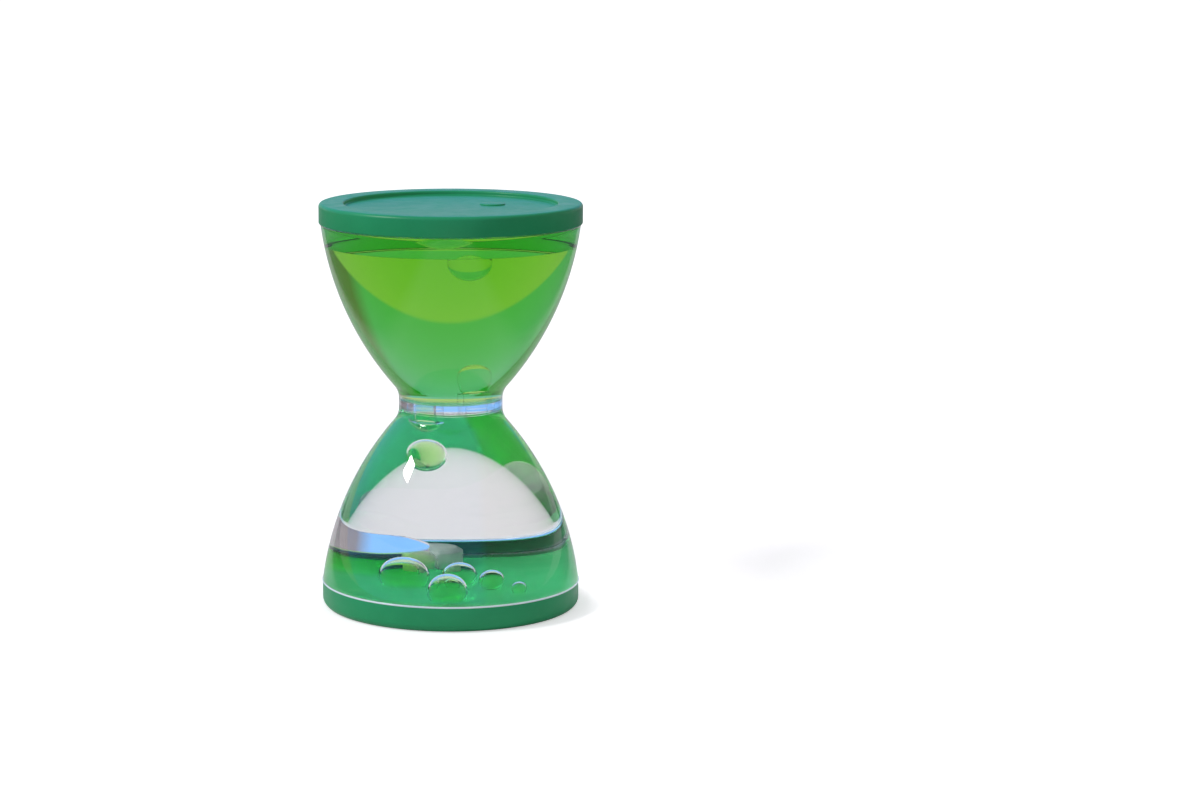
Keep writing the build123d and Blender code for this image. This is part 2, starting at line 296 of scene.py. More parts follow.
def new_group(name, inputs):
    """A node group with some inputs and with a colour, a roughness and a height as outputs."""
    group = bpy.data.node_groups.new(name, "ShaderNodeTree")
    for socket_name, kind, value in inputs:
        socket = group.interface.new_socket(socket_name, in_out="INPUT", socket_type=kind)
        socket.default_value = value
    group.interface.new_socket("Colour", in_out="OUTPUT", socket_type="NodeSocketColor")
    group.interface.new_socket("Roughness", in_out="OUTPUT", socket_type="NodeSocketFloat")
    group.interface.new_socket("Height", in_out="OUTPUT", socket_type="NodeSocketFloat")
    group_inputs = group.nodes.new("NodeGroupInput").outputs
    return group, group_inputs, group.nodes.new("NodeGroupOutput").inputs


# %% Moulded grain, for plastic and rubber
cloud_scale, smear_scale = 90.0, 260.0
noise_low, noise_high = 0.3, 0.7
moulded_grain, given, out = new_group(
    "moulded_grain",
    [
        ("Deep colour", "NodeSocketColor", (0.0, 0.2, 0.1, 1)),
        ("Pale colour", "NodeSocketColor", (0.0, 0.3, 0.15, 1)),
        ("Smooth", "NodeSocketFloat", 0.3),
        ("Rough", "NodeSocketFloat", 0.5),
        ("Grain scale", "NodeSocketFloat", 2600.0),
    ],
)
place = object_coordinates(moulded_grain)
cloud = noise(moulded_grain, place, cloud_scale, detail=4.0)
mottle = spread(moulded_grain, cloud, noise_low, noise_high)
mottled = mix_colours(moulded_grain, mottle, given["Deep colour"], given["Pale colour"])
smears = noise(moulded_grain, place, smear_scale, detail=5.0, roughness=0.65)
sheen = spread(moulded_grain, smears, noise_low, noise_high, given["Smooth"], given["Rough"])
grain = noise(moulded_grain, place, given["Grain scale"])
moulded_grain.links.new(mottled, out["Colour"])
moulded_grain.links.new(sheen, out["Roughness"])
moulded_grain.links.new(grain, out["Height"])
print(moulded_grain.name, "has", [s.name for s in moulded_grain.interface.items_tree])

# %% Handled gloss, for the clear walls
patch_scale, streak_scale = 45.0, 700.0
clean_tint, smeared_tint = (1.0, 1.0, 1.0), (0.94, 0.96, 0.95)
handled_gloss, given, out = new_group(
    "handled_gloss",
    [("Smear", "NodeSocketFloat", 0.03), ("Ripple scale", "NodeSocketFloat", 120.0)],
)
place = object_coordinates(handled_gloss)
patches = spread(handled_gloss, noise(handled_gloss, place, patch_scale, detail=3.0), 0.5, 0.75)
fine_streaks = noise(handled_gloss, place, streak_scale, detail=6.0, roughness=0.7)
streaks = spread(handled_gloss, fine_streaks, 0.5, 0.8)
smear_mask = sums(handled_gloss, "MULTIPLY", patches, streaks)
smear_tint = mix_colours(handled_gloss, smear_mask, clean_tint, smeared_tint)
smear_roughness = sums(handled_gloss, "MULTIPLY", smear_mask, given["Smear"])
ripple = noise(handled_gloss, place, given["Ripple scale"])
handled_gloss.links.new(smear_tint, out["Colour"])
handled_gloss.links.new(smear_roughness, out["Roughness"])
handled_gloss.links.new(ripple, out["Height"])
print(handled_gloss.name, "has", [s.name for s in handled_gloss.interface.items_tree])

# %% [markdown]
# ## Clear finishes
# Light bends by the ratio of the two materials that meet. Blender's glass shader always assumes air
# outside, so each clear body here overlaps its neighbour by a few hundredths of a millimetre:
# a ray enters the next body just before it leaves the last one, and the two bends multiply to the
# right ratio. The wet surfaces have a black specular tint, because a wall with liquid behind it
# mirrors almost nothing. The dye is a volume that soaks up red and blue with depth.

# %% Clear finishes
acrylic_ior, water_ior, oil_ior = 1.49, 1.345, 1.46
water_dye, drop_dye = (0.64, 0.925, 0.22), (0.625, 0.95, 0.185)


def clear_finish(name, ior, wet=True, smear=0.0, ripple_scale=30.0, ripple_height=0.00001):
    finish, tree, shader = new_finish(name)
    gloss = tree.nodes.new("ShaderNodeGroup")
    gloss.node_tree = handled_gloss
    gloss.inputs["Smear"].default_value = smear
    gloss.inputs["Ripple scale"].default_value = ripple_scale
    tree.links.new(gloss.outputs["Colour"], shader.inputs["Base Color"])
    tree.links.new(gloss.outputs["Roughness"], shader.inputs["Roughness"])
    bump(tree, shader, gloss.outputs["Height"], ripple_height)
    shader.inputs["IOR"].default_value = ior
    shader.inputs["Transmission Weight"].default_value = 1.0
    if wet:
        shader.inputs["Specular Tint"].default_value = (0, 0, 0, 1)
    return finish


def dyed_water(name, colour, density):
    """Wet water whose dye soaks up more of the light the deeper it goes."""
    finish = clear_finish(name, water_ior)
    tree = finish.node_tree
    depth = tree.nodes.new("ShaderNodeVolumeAbsorption")
    depth.inputs["Color"].default_value = (*colour, 1)
    depth.inputs["Density"].default_value = density
    tree.links.new(depth.outputs["Volume"], tree.nodes["Material Output"].inputs["Volume"])
    return finish


clear_acrylic = clear_finish(
    "clear_acrylic", acrylic_ior, wet=False, smear=0.05, ripple_scale=60.0, ripple_height=0.000008
)
wetted_acrylic = clear_finish(
    "wetted_acrylic", acrylic_ior, ripple_scale=50.0, ripple_height=0.00002
)
coloured_water = dyed_water("coloured_water", water_dye, density=100.0)
coloured_drop = dyed_water("coloured_drop", drop_dye, density=200.0)
clear_oil = clear_finish("clear_oil", oil_ior)
oil_skin = clear_finish("oil_skin", oil_ior)
water_skin = clear_finish("water_skin", water_ior)
print("acrylic, water and oil bend light by", acrylic_ior, water_ior, oil_ior)

# %% [markdown]
# ## Opaque finishes
# The caps are satin moulded plastic in a deep green, a little paler where the mould flowed. Their
# insides are wet and mirror almost nothing. The wall inside the base's skirt is a darker speckled
# green, which is painted shade. The plug is cloudy silicone and the seals are nearly clear. The
# line of cement at the base is a pale bluish white, partly its own colour and partly a painted
# highlight along the seam. All share the moulded grain with values of their own. The lid's
# underside glows by emission, a painted glow that stands in for the light falling on it.

# %% Opaque finishes
def moulded_finish(name, deep, pale, smooth, rough, grain_scale, grain_height, plain=None):
    """A moulded finish; plain gives further values for the shader's own sockets."""
    finish, tree, shader = new_finish(name)
    group = tree.nodes.new("ShaderNodeGroup")
    group.node_tree = moulded_grain
    group.inputs["Deep colour"].default_value = (*deep, 1)
    group.inputs["Pale colour"].default_value = (*pale, 1)
    group.inputs["Smooth"].default_value = smooth
    group.inputs["Rough"].default_value = rough
    group.inputs["Grain scale"].default_value = grain_scale
    tree.links.new(group.outputs["Colour"], shader.inputs["Base Color"])
    tree.links.new(group.outputs["Roughness"], shader.inputs["Roughness"])
    bump(tree, shader, group.outputs["Height"], grain_height)
    for socket_name, value in (plain or {}).items():
        shader.inputs[socket_name].default_value = value
    return finish


# %% Cap finishes
satin, wetted = {"Specular IOR Level": 0.3}, {"Specular IOR Level": 0.02}
# The lid's underside glows by emission: a painted glow in place of the light that falls on it.
painted_glow = {"Emission Color": (0.09, 0.45, 0.18, 1), "Emission Strength": 0.8}
inside = {
    "deep": (0.024, 0.31, 0.098), "pale": (0.030, 0.36, 0.115), "smooth": 0.35, "rough": 0.5,
    "grain_scale": 1800.0, "grain_height": 0.00003,
}
cap_green = moulded_finish(
    "cap_green", deep=(0.014, 0.300, 0.116), pale=(0.019, 0.340, 0.136), smooth=0.30, rough=0.42,
    grain_scale=2600.0, grain_height=0.00003, plain=satin,
)
cap_inside = moulded_finish("cap_inside", **inside, plain=wetted)
lid_inside_painted_glow = moulded_finish("lid_inside_painted_glow", **inside, plain=wetted | painted_glow)
# Painted shade: the wall inside the base's skirt is a darker speckled green for the shade on it.
painted_shade_wall = moulded_finish(
    "painted_shade_wall", deep=(0.002, 0.060, 0.024), pale=(0.012, 0.125, 0.052), smooth=0.3, rough=0.5,
    grain_scale=900.0, grain_height=0.00005, plain=wetted,
)
print("cap finishes:", [f.name for f in (cap_green, cap_inside, lid_inside_painted_glow, painted_shade_wall)])

# %% Finishes of the small parts
plug_silicone = moulded_finish(
    "plug_silicone", deep=(0.46, 0.58, 0.52), pale=(0.60, 0.70, 0.65), smooth=0.30, rough=0.45,
    grain_scale=1500.0, grain_height=0.00002, plain={"Transmission Weight": 0.6, "IOR": 1.03},
)
seal_clear = moulded_finish(
    "seal_clear", deep=(0.80, 0.86, 0.83), pale=(0.90, 0.94, 0.92), smooth=0.25, rough=0.4,
    grain_scale=1500.0, grain_height=0.00002, plain={"Transmission Weight": 1.0, "IOR": 1.05},
)
# The cement's pale bluish white is partly its own colour and partly a painted highlight.
cement_and_highlight = moulded_finish(
    "cement_and_highlight", deep=(0.66, 0.80, 0.90), pale=(0.86, 0.93, 0.97), smooth=0.12, rough=0.25,
    grain_scale=900.0, grain_height=0.00003,
)
print("small parts:", [f.name for f in (plug_silicone, seal_clear, cement_and_highlight)])

# %% [markdown]
# ## The bells
# A bell is one moulding, used twice. Its profile runs up the outside in two arcs, steps in at the
# rim that enters the cap, and comes down the inside. Turned over, the same form is the lower
# bell. Faces that look at the axis are wet, so they get the wet finish.

# %% Bells
rim_radius, mouth_round = 27.55, 0.15
neck_steps, outer_steps, inner_steps = 14, 44, 46
wet_slope = -0.3


def bell_form(flip):
    """The bell, upright or turned over, with its inner faces wet."""
    bm, first = start_line(neck_radius, plate_half)
    last = arc_to(bm, first, neck_centre, tangent_angle, neck_steps)
    last = arc_to(bm, last, bell_centre, mouth_angle - tangent_angle, outer_steps)
    last = line_to(bm, last, rim_radius, bell_step)
    last = line_to(bm, last, rim_radius, rim_end)
    last = line_to(bm, last, rim_bore, rim_end)
    last = arc_to(bm, last, bell_centre, tangent_angle - rim_angle, inner_steps)
    last = arc_to(bm, last, neck_centre, -tangent_angle, neck_steps)
    bm.edges.new((last, first))
    turn(bm)
    round_ring(bm, mouth_radius, bell_step, mouth_round, segments=3)
    bm.normal_update()
    for face in bm.faces:
        outward = face.calc_center_median().xy.normalized()
        if face.normal.xy.dot(outward) < wet_slope:
            face.material_index = 1
    if flip:
        turn_over(bm)
    move(bm, z=neck_height)
    return bm


bell_finishes = [clear_acrylic, wetted_acrylic]
make_piece(bell_form(False), "upper_bell_clear", bell_finishes, nodes=["upper_bell"])
make_piece(bell_form(True), "lower_bell_clear", bell_finishes, nodes=["lower_bell"])

# %% [markdown]
# ## The caps
# Lid and base are shallow cups with a recessed face. They are turned from one profile, and the
# corners are rounded with the bevel operator, because a moulded edge is never sharp and the
# highlight along it is what makes it read as plastic. The lid keeps the small round mark that
# the mould's gate leaves.

# %% Cap form
skirt_bore, lid_radius = 27.6, 29.0
recess_radius, recess_depth = 23.5, 1.0
face_round, recess_round, skirt_round = 0.4, 0.3, 0.25


def cap_form(outer_radius, edge_round, face):
    """Cup over the upper bell, with its rim face at a height above the neck."""
    bm, first = start_line(0, roof)
    last = line_to(bm, first, skirt_bore, roof)
    last = line_to(bm, last, skirt_bore, skirt_end)
    last = line_to(bm, last, outer_radius, skirt_end)
    last = line_to(bm, last, outer_radius, face)
    last = line_to(bm, last, recess_radius, face)
    last = line_to(bm, last, recess_radius, face - recess_depth)
    line_to(bm, last, 0, face - recess_depth)
    turn(bm)
    round_ring(bm, outer_radius, face, edge_round, segments=8)
    round_ring(bm, recess_radius, face, face_round)
    round_ring(bm, recess_radius, face - recess_depth, recess_round)
    round_ring(bm, outer_radius, skirt_end, skirt_round)
    for cap_face in bm.faces:
        centre = cap_face.calc_center_median()
        if centre.z < roof + near and hypot(centre.x, centre.y) < skirt_bore:
            cap_face.material_index = 1 if centre.z > roof - near else 2
    return bm


# %% Lid with its gate mark
lid_edge_round, lid_face = 0.8, timer_height - neck_height
gate_radius, gate_height, gate_round, gate_sink = 2.8, 0.4, 0.15, 0.1
gate_place = (9.2, 4.1, lid_face - recess_depth - gate_sink)
lid_form = cap_form(lid_radius, lid_edge_round, lid_face)
gate_rim = bmesh.ops.create_circle(lid_form, cap_ends=True, radius=gate_radius, segments=64)
gate_faces = list({f for v in gate_rim["verts"] for f in v.link_faces})
gate_edges = raise_faces(lid_form, gate_faces, gate_height)
round_edges(lid_form, gate_edges, gate_round, segments=3)
gate_verts = [v for v in lid_form.verts if v.co.z < 2 * gate_height]
bmesh.ops.translate(lid_form, vec=gate_place, verts=gate_verts)
bmesh.ops.recalc_face_normals(lid_form, faces=lid_form.faces)
move(lid_form, z=neck_height)
lid_finishes = [cap_green, lid_inside_painted_glow, lid_inside_painted_glow]
make_piece(lid_form, "lid_green", lid_finishes, nodes=["lid"], clear=False)

# %% Base
base_edge_round, base_face = 1.8, neck_height
base_form = cap_form(mouth_radius, base_edge_round, base_face)
turn_over(base_form)
move(base_form, z=neck_height)
# The third finish, on the wall inside the skirt, is painted shade.
base_finishes = [cap_green, cap_inside, painted_shade_wall]
make_piece(base_form, "base_green", base_finishes, nodes=["base"], clear=False)

# %% [markdown]
# ## Seals, cement and plug
# Thin rings sit between the bell rims and the caps, a fillet of clear cement fills the corner under
# the lid, and a soft plug closes the filling hole in the base. All are turned.

# %% Seals
def ring_form(points):
    """A ring with straight sides through some points of its profile."""
    bm, first = start_line(*points[0])
    last = first
    for radius, height in points[1:]:
        last = line_to(bm, last, radius, height)
    bm.edges.new((last, first))
    turn(bm)
    return bm


def seal_form(low):
    high = low + seal_thickness
    return ring_form([(rim_bore, low), (rim_radius, low), (rim_radius, high), (rim_bore, high)])


lid_seal_form = seal_form(roof_height - seal_thickness)
make_piece(lid_seal_form, "lid_seal_ring", [seal_clear], nodes=["lid_seal"])
make_piece(seal_form(floor_height), "base_seal_ring", [seal_clear], nodes=["base_seal"])

# %% Cement
lid_bead_size, lid_bead_drop = 0.18, 0.08
base_bead_size, base_bead_sink, base_bead_rise = 0.2, 0.05, 0.1


def bead_form(radius, height, size):
    """A round bead of cement, half sunk into the seam that it fills."""
    bm, first = start_line(radius + size, height)
    last = arc_to(bm, first, (radius, height), tau / 2, 10)
    arc_to(bm, last, (radius, height), tau / 2, 10)
    turn(bm)
    return bm


lid_bead = bead_form(mouth_radius, neck_height + skirt_end - lid_bead_drop, lid_bead_size)
make_piece(lid_bead, "lid_cement_bead", [clear_acrylic], nodes=["lid_bond_bead"])
# The pale bead at the base also paints the bright highlight along the seam.
base_bead_height = neck_height - skirt_end + base_bead_rise
base_bead = bead_form(mouth_radius - base_bead_sink, base_bead_height, base_bead_size)
make_piece(base_bead, "base_cement_and_highlight_line", [cement_and_highlight])

# %% Plug
plug_x, plug_y, plug_low, plug_high = -1.7, 20.5, 0.3, floor_height + 3.6
head_radius, stem_radius, barrel_radius, barrel_chamfer = 2.8, 1.9, 3.0, 0.7
plug_steps, plug_round, sharp_angle = 64, 0.12, radians(30)
plug_points = [
    (head_radius, plug_low), (head_radius, recess_depth), (stem_radius, recess_depth),
    (stem_radius, floor_height), (barrel_radius, floor_height),
    (barrel_radius, plug_high - barrel_chamfer), (barrel_radius - barrel_chamfer, plug_high),
]
plug_form, last = start_line(0, plug_low)
for radius, height in plug_points:
    last = line_to(plug_form, last, radius, height)
line_to(plug_form, last, 0, plug_high)
turn(plug_form, plug_x, plug_y, plug_steps)
sharp_edges = [e for e in plug_form.edges if e.calc_face_angle(0) > sharp_angle]
round_edges(plug_form, sharp_edges, plug_round, segments=2)
make_piece(plug_form, "fill_plug", [plug_silicone], nodes=["base_fill_plug"])

# %% [markdown]
# ## Jet plate and nozzles
# The plate is a disc with two round holes. Filling three circles at once leaves the holes open, and
# an extrusion gives the thickness. Each nozzle is a turned tube that stands in its hole. Where two
# clear pieces meet, they overlap by the small contact, for the order in which light bends.

# %% Jet plate
contact = 0.02
nozzle_offset, nozzle_radius, nozzle_bore, nozzle_reach = 3.9, 2.9, 1.7, 4.75
plate_top, plate_bottom = neck_height + plate_half, neck_height - plate_half
riser_tip, drip_tip = plate_top + nozzle_reach, plate_bottom - nozzle_reach
hole_radius, hole_steps = nozzle_radius - contact, 64
plate_circles = [
    (0, neck_radius, turn_steps), (nozzle_offset, hole_radius, hole_steps),
    (-nozzle_offset, hole_radius, hole_steps),
]
plate_form = bmesh.new()
for x, radius, steps in plate_circles:
    circle = bmesh.ops.create_circle(plate_form, radius=radius, segments=steps)["verts"]
    bmesh.ops.translate(plate_form, vec=(x, 0, 0), verts=circle)
bmesh.ops.triangle_fill(plate_form, use_beauty=True, edges=plate_form.edges[:])
move(plate_form, z=-plate_half - contact)
raise_faces(plate_form, plate_form.faces[:], 2 * (plate_half + contact))
bmesh.ops.recalc_face_normals(plate_form, faces=plate_form.faces)
move(plate_form, z=neck_height)
make_piece(plate_form, "jet_plate_clear", [clear_acrylic], nodes=["jet_plate"])

# %% Nozzles
tip_chamfer = 0.4


def nozzle_form(x, foot, tip):
    """A tube with a chamfered tip, from its foot in the plate to its tip in the chamber."""
    back = tip_chamfer if tip < foot else -tip_chamfer
    bm, first = start_line(nozzle_bore, foot)
    last = line_to(bm, first, nozzle_radius, foot)
    last = line_to(bm, last, nozzle_radius, tip + back)
    last = line_to(bm, last, nozzle_radius - tip_chamfer, tip)
    last = line_to(bm, last, nozzle_bore, tip)
    bm.edges.new((last, first))
    turn(bm, x, 0, small_turn_steps)
    return bm


riser_form = nozzle_form(nozzle_offset, plate_bottom, riser_tip)
make_piece(riser_form, "riser_nozzle_clear", [wetted_acrylic], nodes=["riser_nozzle"])
drip_form = nozzle_form(-nozzle_offset, plate_top, drip_tip)
make_piece(drip_form, "drip_nozzle_clear", [wetted_acrylic], nodes=["drip_nozzle"])

# %% [markdown]
# ## The liquids
# Each liquid is turned from the inside profile of its chamber, pushed a little into the wall, the
# plate and the cap that hold it. Clear oil fills the lower chamber and green water the upper one.
# Oil clings to plastic better than water does, so the oil that has risen lies as a ring in the
# corner of lid and bell, and the water has a sloping shoulder under it.

# %% The water's shoulder, a flat arc from the lid down to the wall
ring_depth, ring_width_share, ring_bulge = 7.1, 0.235, 0.03


def wall_radius(height):
    """Radius of the bell's inner wall at a height above or below the neck."""
    return bell_centre.x + sqrt(inner_arc**2 - (abs(height) - bell_centre.y) ** 2)


ring_width = ring_width_share * rim_bore
lid_contact = Vector((wall_radius(roof - ring_depth) - ring_width, roof))
shoulder_chord = Vector((ring_width, -ring_depth))
half_chord = shoulder_chord.length / 2
shoulder_arc = (half_chord**2 + ring_bulge**2) / (2 * ring_bulge)
inward = Vector((-ring_depth, -ring_width)).normalized()
shoulder_middle = lid_contact + shoulder_chord / 2
shoulder_centre = shoulder_middle + (shoulder_arc - ring_bulge) * inward
shoulder_turn = 2 * asin(half_chord / shoulder_arc)
print("water meets the lid at radius", round(lid_contact.x, 2), "mm")

# %% Lines of the liquids
dip = 0.05
wet_arc, overrun = inner_arc + dip, 2.5 * dip
shoulder_steps, climb_steps = 24, 12


def chamber_wall(bm, last):
    """Follows the bell's inner wall, pushed out by the dip, down to the plate and the axis."""
    start_angle = asin((last.co.z - bell_centre.y) / wet_arc)
    last = arc_to(bm, last, bell_centre, tangent_angle - start_angle, inner_steps)
    last = arc_to(bm, last, neck_centre, -tangent_angle, neck_steps)
    last = line_to(bm, last, neck_bore + dip, plate_half - dip)
    line_to(bm, last, 0, plate_half - dip)


def shoulder_line(bm, last):
    """Follows the water's shoulder from a point just inside the lid to one just inside the wall."""
    sweep = -shoulder_turn - overrun / shoulder_arc
    return arc_to(bm, last, shoulder_centre, sweep, shoulder_steps)


def over_shoulder(sink):
    """The point where the shoulder's arc, lowered by sink, has run on a little into the lid."""
    way = lid_contact - shoulder_centre
    along_lid = Vector((-way.y, way.x)).normalized()
    return way * (1 - sink / shoulder_arc) + shoulder_centre + dip * along_lid


# %% Green water
lid_point = over_shoulder(0)
water_form, first = start_line(0, roof + dip)
last = line_to(water_form, first, lid_point.x, roof + dip)
last = line_to(water_form, last, *lid_point)
chamber_wall(water_form, shoulder_line(water_form, last))
turn(water_form)
move(water_form, z=neck_height)
make_piece(water_form, "green_water", [coloured_water], nodes=["coloured_liquid"])

# %% Ring of risen oil
ring_point = over_shoulder(contact)
ring_oil_form, first = start_line(ring_point.x, roof + dip)
last = line_to(ring_oil_form, first, *ring_point)
last = shoulder_line(ring_oil_form, last)
climb = rim_angle - asin((last.co.z - bell_centre.y) / wet_arc)
last = arc_to(ring_oil_form, last, bell_centre, climb, climb_steps)
last = line_to(ring_oil_form, last, rim_bore + dip, roof + dip)
ring_oil_form.edges.new((last, first))
turn(ring_oil_form)
move(ring_oil_form, z=neck_height)
make_piece(ring_oil_form, "risen_oil_ring", [clear_oil], nodes=["clear_layer"])

# %% Clear oil
wet_rim = (bell_centre.x + wet_arc * cos(rim_angle), bell_centre.y + wet_arc * sin(rim_angle))
oil_form, first = start_line(0, roof + dip)
last = line_to(oil_form, first, rim_bore + dip, roof + dip)
last = line_to(oil_form, last, *wet_rim)
chamber_wall(oil_form, last)
turn(oil_form)
turn_over(oil_form)
move(oil_form, z=neck_height)
make_piece(oil_form, "clear_oil_body", [clear_oil], nodes=["clear_liquid"])

# %% [markdown]
# ## Drops
# A drop is a body of one liquid inside another. Its own surface says that a ray enters the drop. A
# second surface just inside it, with its faces turned inwards, says that the ray leaves the liquid
# round it. Together they bend light by the right ratio, and both can ride on a moving body, which a
# hole cut into the big liquid could not.

# %% Drop helpers
green_in_oil = (coloured_drop, "coloured_water", oil_skin, "clear_oil")
clear_in_water = (clear_oil, "clear_oil", water_skin, "coloured_water")
crown_steps = 24


def add_drop(form, name, kind, node, body="timer"):
    """Makes a drop that stands for a node, and the turned-in skin of the liquid round it."""
    finish, slot, skin, skin_slot = kind
    make_piece(form(0.0), name, [finish], body, [node])
    make_piece(turn_in(form(-contact)), name + "_skin", [skin], body)


def dome_form(x, y, height, radius, rise, grow):
    """Cap of a ball on a level surface, with its foot dipped in; a negative rise hangs down."""
    ball = (radius**2 + rise**2) / (2 * abs(rise))
    foot_angle = asin((ball - abs(rise)) / ball)
    centre_height = abs(rise) - ball
    ball += grow
    foot = -dip - 2 * grow
    bm, first = start_line(0, foot)
    last = line_to(bm, first, ball * cos(foot_angle), foot)
    last = line_to(bm, last, ball * cos(foot_angle), centre_height + ball * sin(foot_angle))
    arc_to(bm, last, (0, centre_height), radians(90) - foot_angle, crown_steps)
    turn(bm, x, y, small_turn_steps)
    if rise < 0:
        turn_over(bm)
    move(bm, z=height)
    return bm


def ball_form(x, y, height, radius, grow):
    bm = bmesh.new()
    bmesh.ops.create_uvsphere(
        bm, u_segments=small_turn_steps, v_segments=small_turn_steps // 2, radius=radius + grow
    )
    move(bm, x, y, height)
    return bm


# %% Drops on the base and under the lid, as shares of the bore: x, y, radius and height
landed_shares = [
    (-0.251, 0.193, 0.128, 0.201), (-0.021, -0.316, 0.116, 0.201), (0.046, 0.249, 0.073, 0.152),
    (0.234, 0.053, 0.034, 0.142), (0.415, -0.071, 0.039, 0.080),
]
risen_shares = [
    (-0.038, 0.000, 0.311, 0.159), (0.456, -0.152, 0.091, 0.099), (0.235, -0.304, 0.038, 0.061),
]
for number, shares in enumerate(landed_shares, start=1):
    x, y, radius, rise = (share * rim_bore for share in shares)
    add_drop(lambda grow: dome_form(x, y, floor_height, radius, rise, grow),
             f"landed_drop_green_{number}", green_in_oil, f"landed_drop_{number}")
for number, shares in enumerate(risen_shares, start=1):
    x, y, radius, depth = (share * rim_bore for share in shares)
    add_drop(lambda grow: dome_form(x, y, roof_height, radius, -depth, grow),
             f"risen_drop_clear_{number}", clear_in_water, f"risen_drop_{number}")

# %% Drops below the drip nozzle and above the riser nozzle
pendant_radius, pendant_length = 2.5, 3.3
falling_radius, falling_height = 3.4, drip_tip - 8.75
waiting_x, waiting_radius, waiting_height = 3.1, 3.7, roof_height - 8.9
add_drop(lambda grow: dome_form(-nozzle_offset, 0, drip_tip, pendant_radius, -pendant_length, grow),
         "pendant_drop_green", green_in_oil, "pendant_drop")
add_drop(lambda grow: ball_form(-nozzle_offset, 0, falling_height, falling_radius, grow),
         "falling_drop_green", green_in_oil, "falling_drop", "falling_drop")
add_drop(lambda grow: ball_form(waiting_x, 0, waiting_height, waiting_radius, grow),
         "waiting_drop_clear", clear_in_water, "waiting_drop")

# %% Bulb on the riser nozzle
bulb_belly, bulb_foot, bulb_length, bulb_gap = 2.9, 2.2, 6.5, 0.15
belly_rise = bulb_gap + bulb_length - bulb_belly
flank_step, flank_steps, least_step = bulb_belly - bulb_foot, 16, 0.001
flank_arc = (flank_step**2 + belly_rise**2) / (2 * flank_step)


def bulb_form(grow):
    """A bulb of oil on the riser nozzle: a narrow foot, a slow flank and a round crown."""
    foot_angle = asin(belly_rise / flank_arc)
    flank = flank_arc + grow
    foot_radius = bulb_belly - flank_arc + flank * cos(foot_angle)
    bm, first = start_line(0, -grow)
    last = line_to(bm, first, foot_radius, -grow)
    last = line_to(bm, last, last.co.x, belly_rise - flank * sin(foot_angle) + least_step)
    last = arc_to(bm, last, (bulb_belly - flank_arc, belly_rise), foot_angle, flank_steps)
    arc_to(bm, last, (0, belly_rise), radians(90), crown_steps)
    turn(bm, nozzle_offset, 0, small_turn_steps)
    move(bm, z=riser_tip)
    return bm


add_drop(bulb_form, "rising_drop_clear", clear_in_water, "rising_drop", "rising_drop")

# %% Pool at the back of the base
pool_x, pool_y, pool_radius = (share * rim_bore for share in (-0.417, 0.797, 0.387))
pool_depth, pool_round, pool_steps = 3.9, 2.6, 128


def pool_form(grow):
    """A thick round-edged puddle, pressed against the bell's wall."""
    bm = bmesh.new()
    bmesh.ops.create_circle(bm, cap_ends=True, radius=pool_radius + grow, segments=pool_steps)
    top_edges = raise_faces(bm, bm.faces[:], pool_depth + dip + 3 * grow)
    round_edges(bm, top_edges, pool_round, segments=10)
    move(bm, pool_x, pool_y, floor_height - dip - 2 * grow)
    overlap = 2 * dip if grow == 0 else grow
    for v in bm.verts:
        limit = wall_radius(v.co.z - neck_height) + overlap
        distance = hypot(v.co.x, v.co.y)
        if distance > limit:
            v.co.xy *= limit / distance
    tidy(bm)
    return bm


add_drop(pool_form, "settled_pool_green", green_in_oil, "settled_pool")

# %% [markdown]
# ## Liquid in and round the nozzles
# A nozzle stands in one liquid and carries the other in its bore, so it needs the same two tricks:
# a turned-in skin of the liquid round it, and a column of the liquid that it carries. The lips that
# centre the bells on the plate are plain rings, and they stand in the liquids with a skin too.

# %% Nozzle skins
def column_form(x, radius, low, high):
    bm = bmesh.new()
    bmesh.ops.create_circle(bm, cap_ends=True, radius=radius, segments=small_turn_steps)
    raise_faces(bm, bm.faces[:], high - low)
    bmesh.ops.recalc_face_normals(bm, faces=bm.faces)
    move(bm, x, 0, low)
    return bm


riser_skin = turn_in(
    column_form(nozzle_offset, nozzle_radius - contact, plate_top - contact, riser_tip - contact)
)
make_piece(riser_skin, "riser_nozzle_skin", [water_skin])
drip_skin = turn_in(
    column_form(-nozzle_offset, nozzle_radius - contact, drip_tip + contact, plate_bottom + contact)
)
make_piece(drip_skin, "drip_nozzle_skin", [oil_skin])

# %% Liquid in the bores
column_radius = nozzle_bore + contact
oil_column = column_form(nozzle_offset, column_radius, plate_bottom + contact, riser_tip)
make_piece(oil_column, "riser_oil_column", [clear_oil])
water_column = column_form(-nozzle_offset, column_radius, drip_tip, plate_top - contact)
make_piece(water_column, "drip_water_column", [coloured_drop])

# %% Register lips
lip_gap, lip_wall, lip_height = 0.1, 0.8, 0.8
lip_foot, lip_skin_foot = plate_half - 0.07, plate_half - 0.03
lip_radius = neck_bore - lip_gap


def lip_form(side, shrink, foot):
    """A ring on one side of the plate, thinner by shrink all round, from its foot to its top."""
    inside_radius, outside_radius = lip_radius - lip_wall + shrink, lip_radius - shrink
    top = plate_half + lip_height - shrink
    corners = [
        (inside_radius, foot), (outside_radius, foot), (outside_radius, top), (inside_radius, top)
    ]
    bm = ring_form([(radius, side * height) for radius, height in corners])
    move(bm, z=neck_height)
    return bm


lips = ((1, "upper_lip", water_skin, "coloured_water"), (-1, "lower_lip", oil_skin, "clear_oil"))
for side, name, skin, slot in lips:
    make_piece(lip_form(side, 0, lip_foot), name + "_ring", [wetted_acrylic])
    make_piece(turn_in(lip_form(side, contact, lip_skin_foot)), name + "_skin", [skin])

